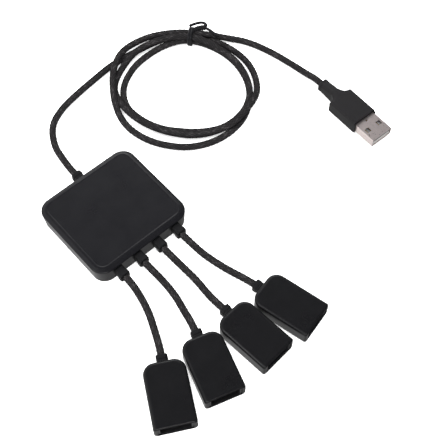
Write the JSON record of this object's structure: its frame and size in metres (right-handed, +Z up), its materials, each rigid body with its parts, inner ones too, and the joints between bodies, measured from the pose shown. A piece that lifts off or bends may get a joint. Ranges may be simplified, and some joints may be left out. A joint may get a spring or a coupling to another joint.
{
  "type": "usb hub",
  "caption": "Flat square USB hub with socket cords fanning from one side and a tied coil of braided host cord ending in a USB-A plug.",
  "frame": {"origin": "middle of the case's flat underside, on the surface it lies on", "axes": "+Z up out of the case's flat top; the socket cords leave the -Y side and the host cord leaves the +Y side"},
  "size_m": [0.1758, 0.1727, 0.0098],
  "materials": {
    "case_plastic": "fine satin mould texture",
    "relief_rubber": "matte",
    "cord_braid": "woven nylon sleeve",
    "socket_moulding": "satin",
    "plug_moulding": "fine matte",
    "shell_nickel": "satin nickel plate",
    "contact_gold": "plated",
    "insulator": "moulded",
    "insulator_white": "moulded",
    "receptacle_steel": "plated sheet",
    "inner_mould": "natural moulding",
    "board": "solder mask",
    "chip_black": "moulded",
    "capacitor_tantalum": "moulded",
    "capacitor_ceramic": "fired",
    "crystal_can": "drawn can",
    "wire_insulation": "extruded",
    "tie_vinyl": "vinyl coated wire"
  },
  "bodies": {
    "root": {"top_cover": "case_plastic", "bottom_cover": "case_plastic", "circuit_board": "board", "hub_controller": "chip_black", "port_capacitors": "capacitor_tantalum", "ceramic_capacitors": "capacitor_ceramic", "chip_resistors": "chip_black", "regulator": "chip_black", "crystal": "crystal_can", "host_relief": "relief_rubber", "host_wires": "wire_insulation", "plug_shell": "shell_nickel", "plug_insulator": "insulator_white", "plug_contacts": "contact_gold", "plug_inner_mould": "inner_mould", "plug_overmould": "plug_moulding", "host_cord_lead": "cord_braid", "host_cord_tail": "cord_braid", "cord_coil": "cord_braid", "wire_tie": "tie_vinyl", "port_relief_1": "relief_rubber", "port_wires_1": "wire_insulation", "port_cord_1": "cord_braid", "socket_housing_1": "socket_moulding", "socket_shell_1": "receptacle_steel", "socket_tongue_1": "insulator", "socket_contacts_1": "contact_gold", "socket_inner_mould_1": "inner_mould", "socket_relief_1": "relief_rubber", "port_relief_2": "relief_rubber", "port_wires_2": "wire_insulation", "port_cord_2": "cord_braid", "socket_housing_2": "socket_moulding", "socket_shell_2": "receptacle_steel", "socket_tongue_2": "insulator", "socket_contacts_2": "contact_gold", "socket_inner_mould_2": "inner_mould", "socket_relief_2": "relief_rubber", "port_relief_3": "relief_rubber", "port_wires_3": "wire_insulation", "port_cord_3": "cord_braid", "socket_housing_3": "socket_moulding", "socket_shell_3": "receptacle_steel", "socket_tongue_3": "insulator", "socket_contacts_3": "contact_gold", "socket_inner_mould_3": "inner_mould", "socket_relief_3": "relief_rubber", "port_relief_4": "relief_rubber", "port_wires_4": "wire_insulation", "port_cord_4": "cord_braid", "socket_housing_4": "socket_moulding", "socket_shell_4": "receptacle_steel", "socket_tongue_4": "insulator", "socket_contacts_4": "contact_gold", "socket_inner_mould_4": "inner_mould", "socket_relief_4": "relief_rubber"}
  },
  "joints": []
}
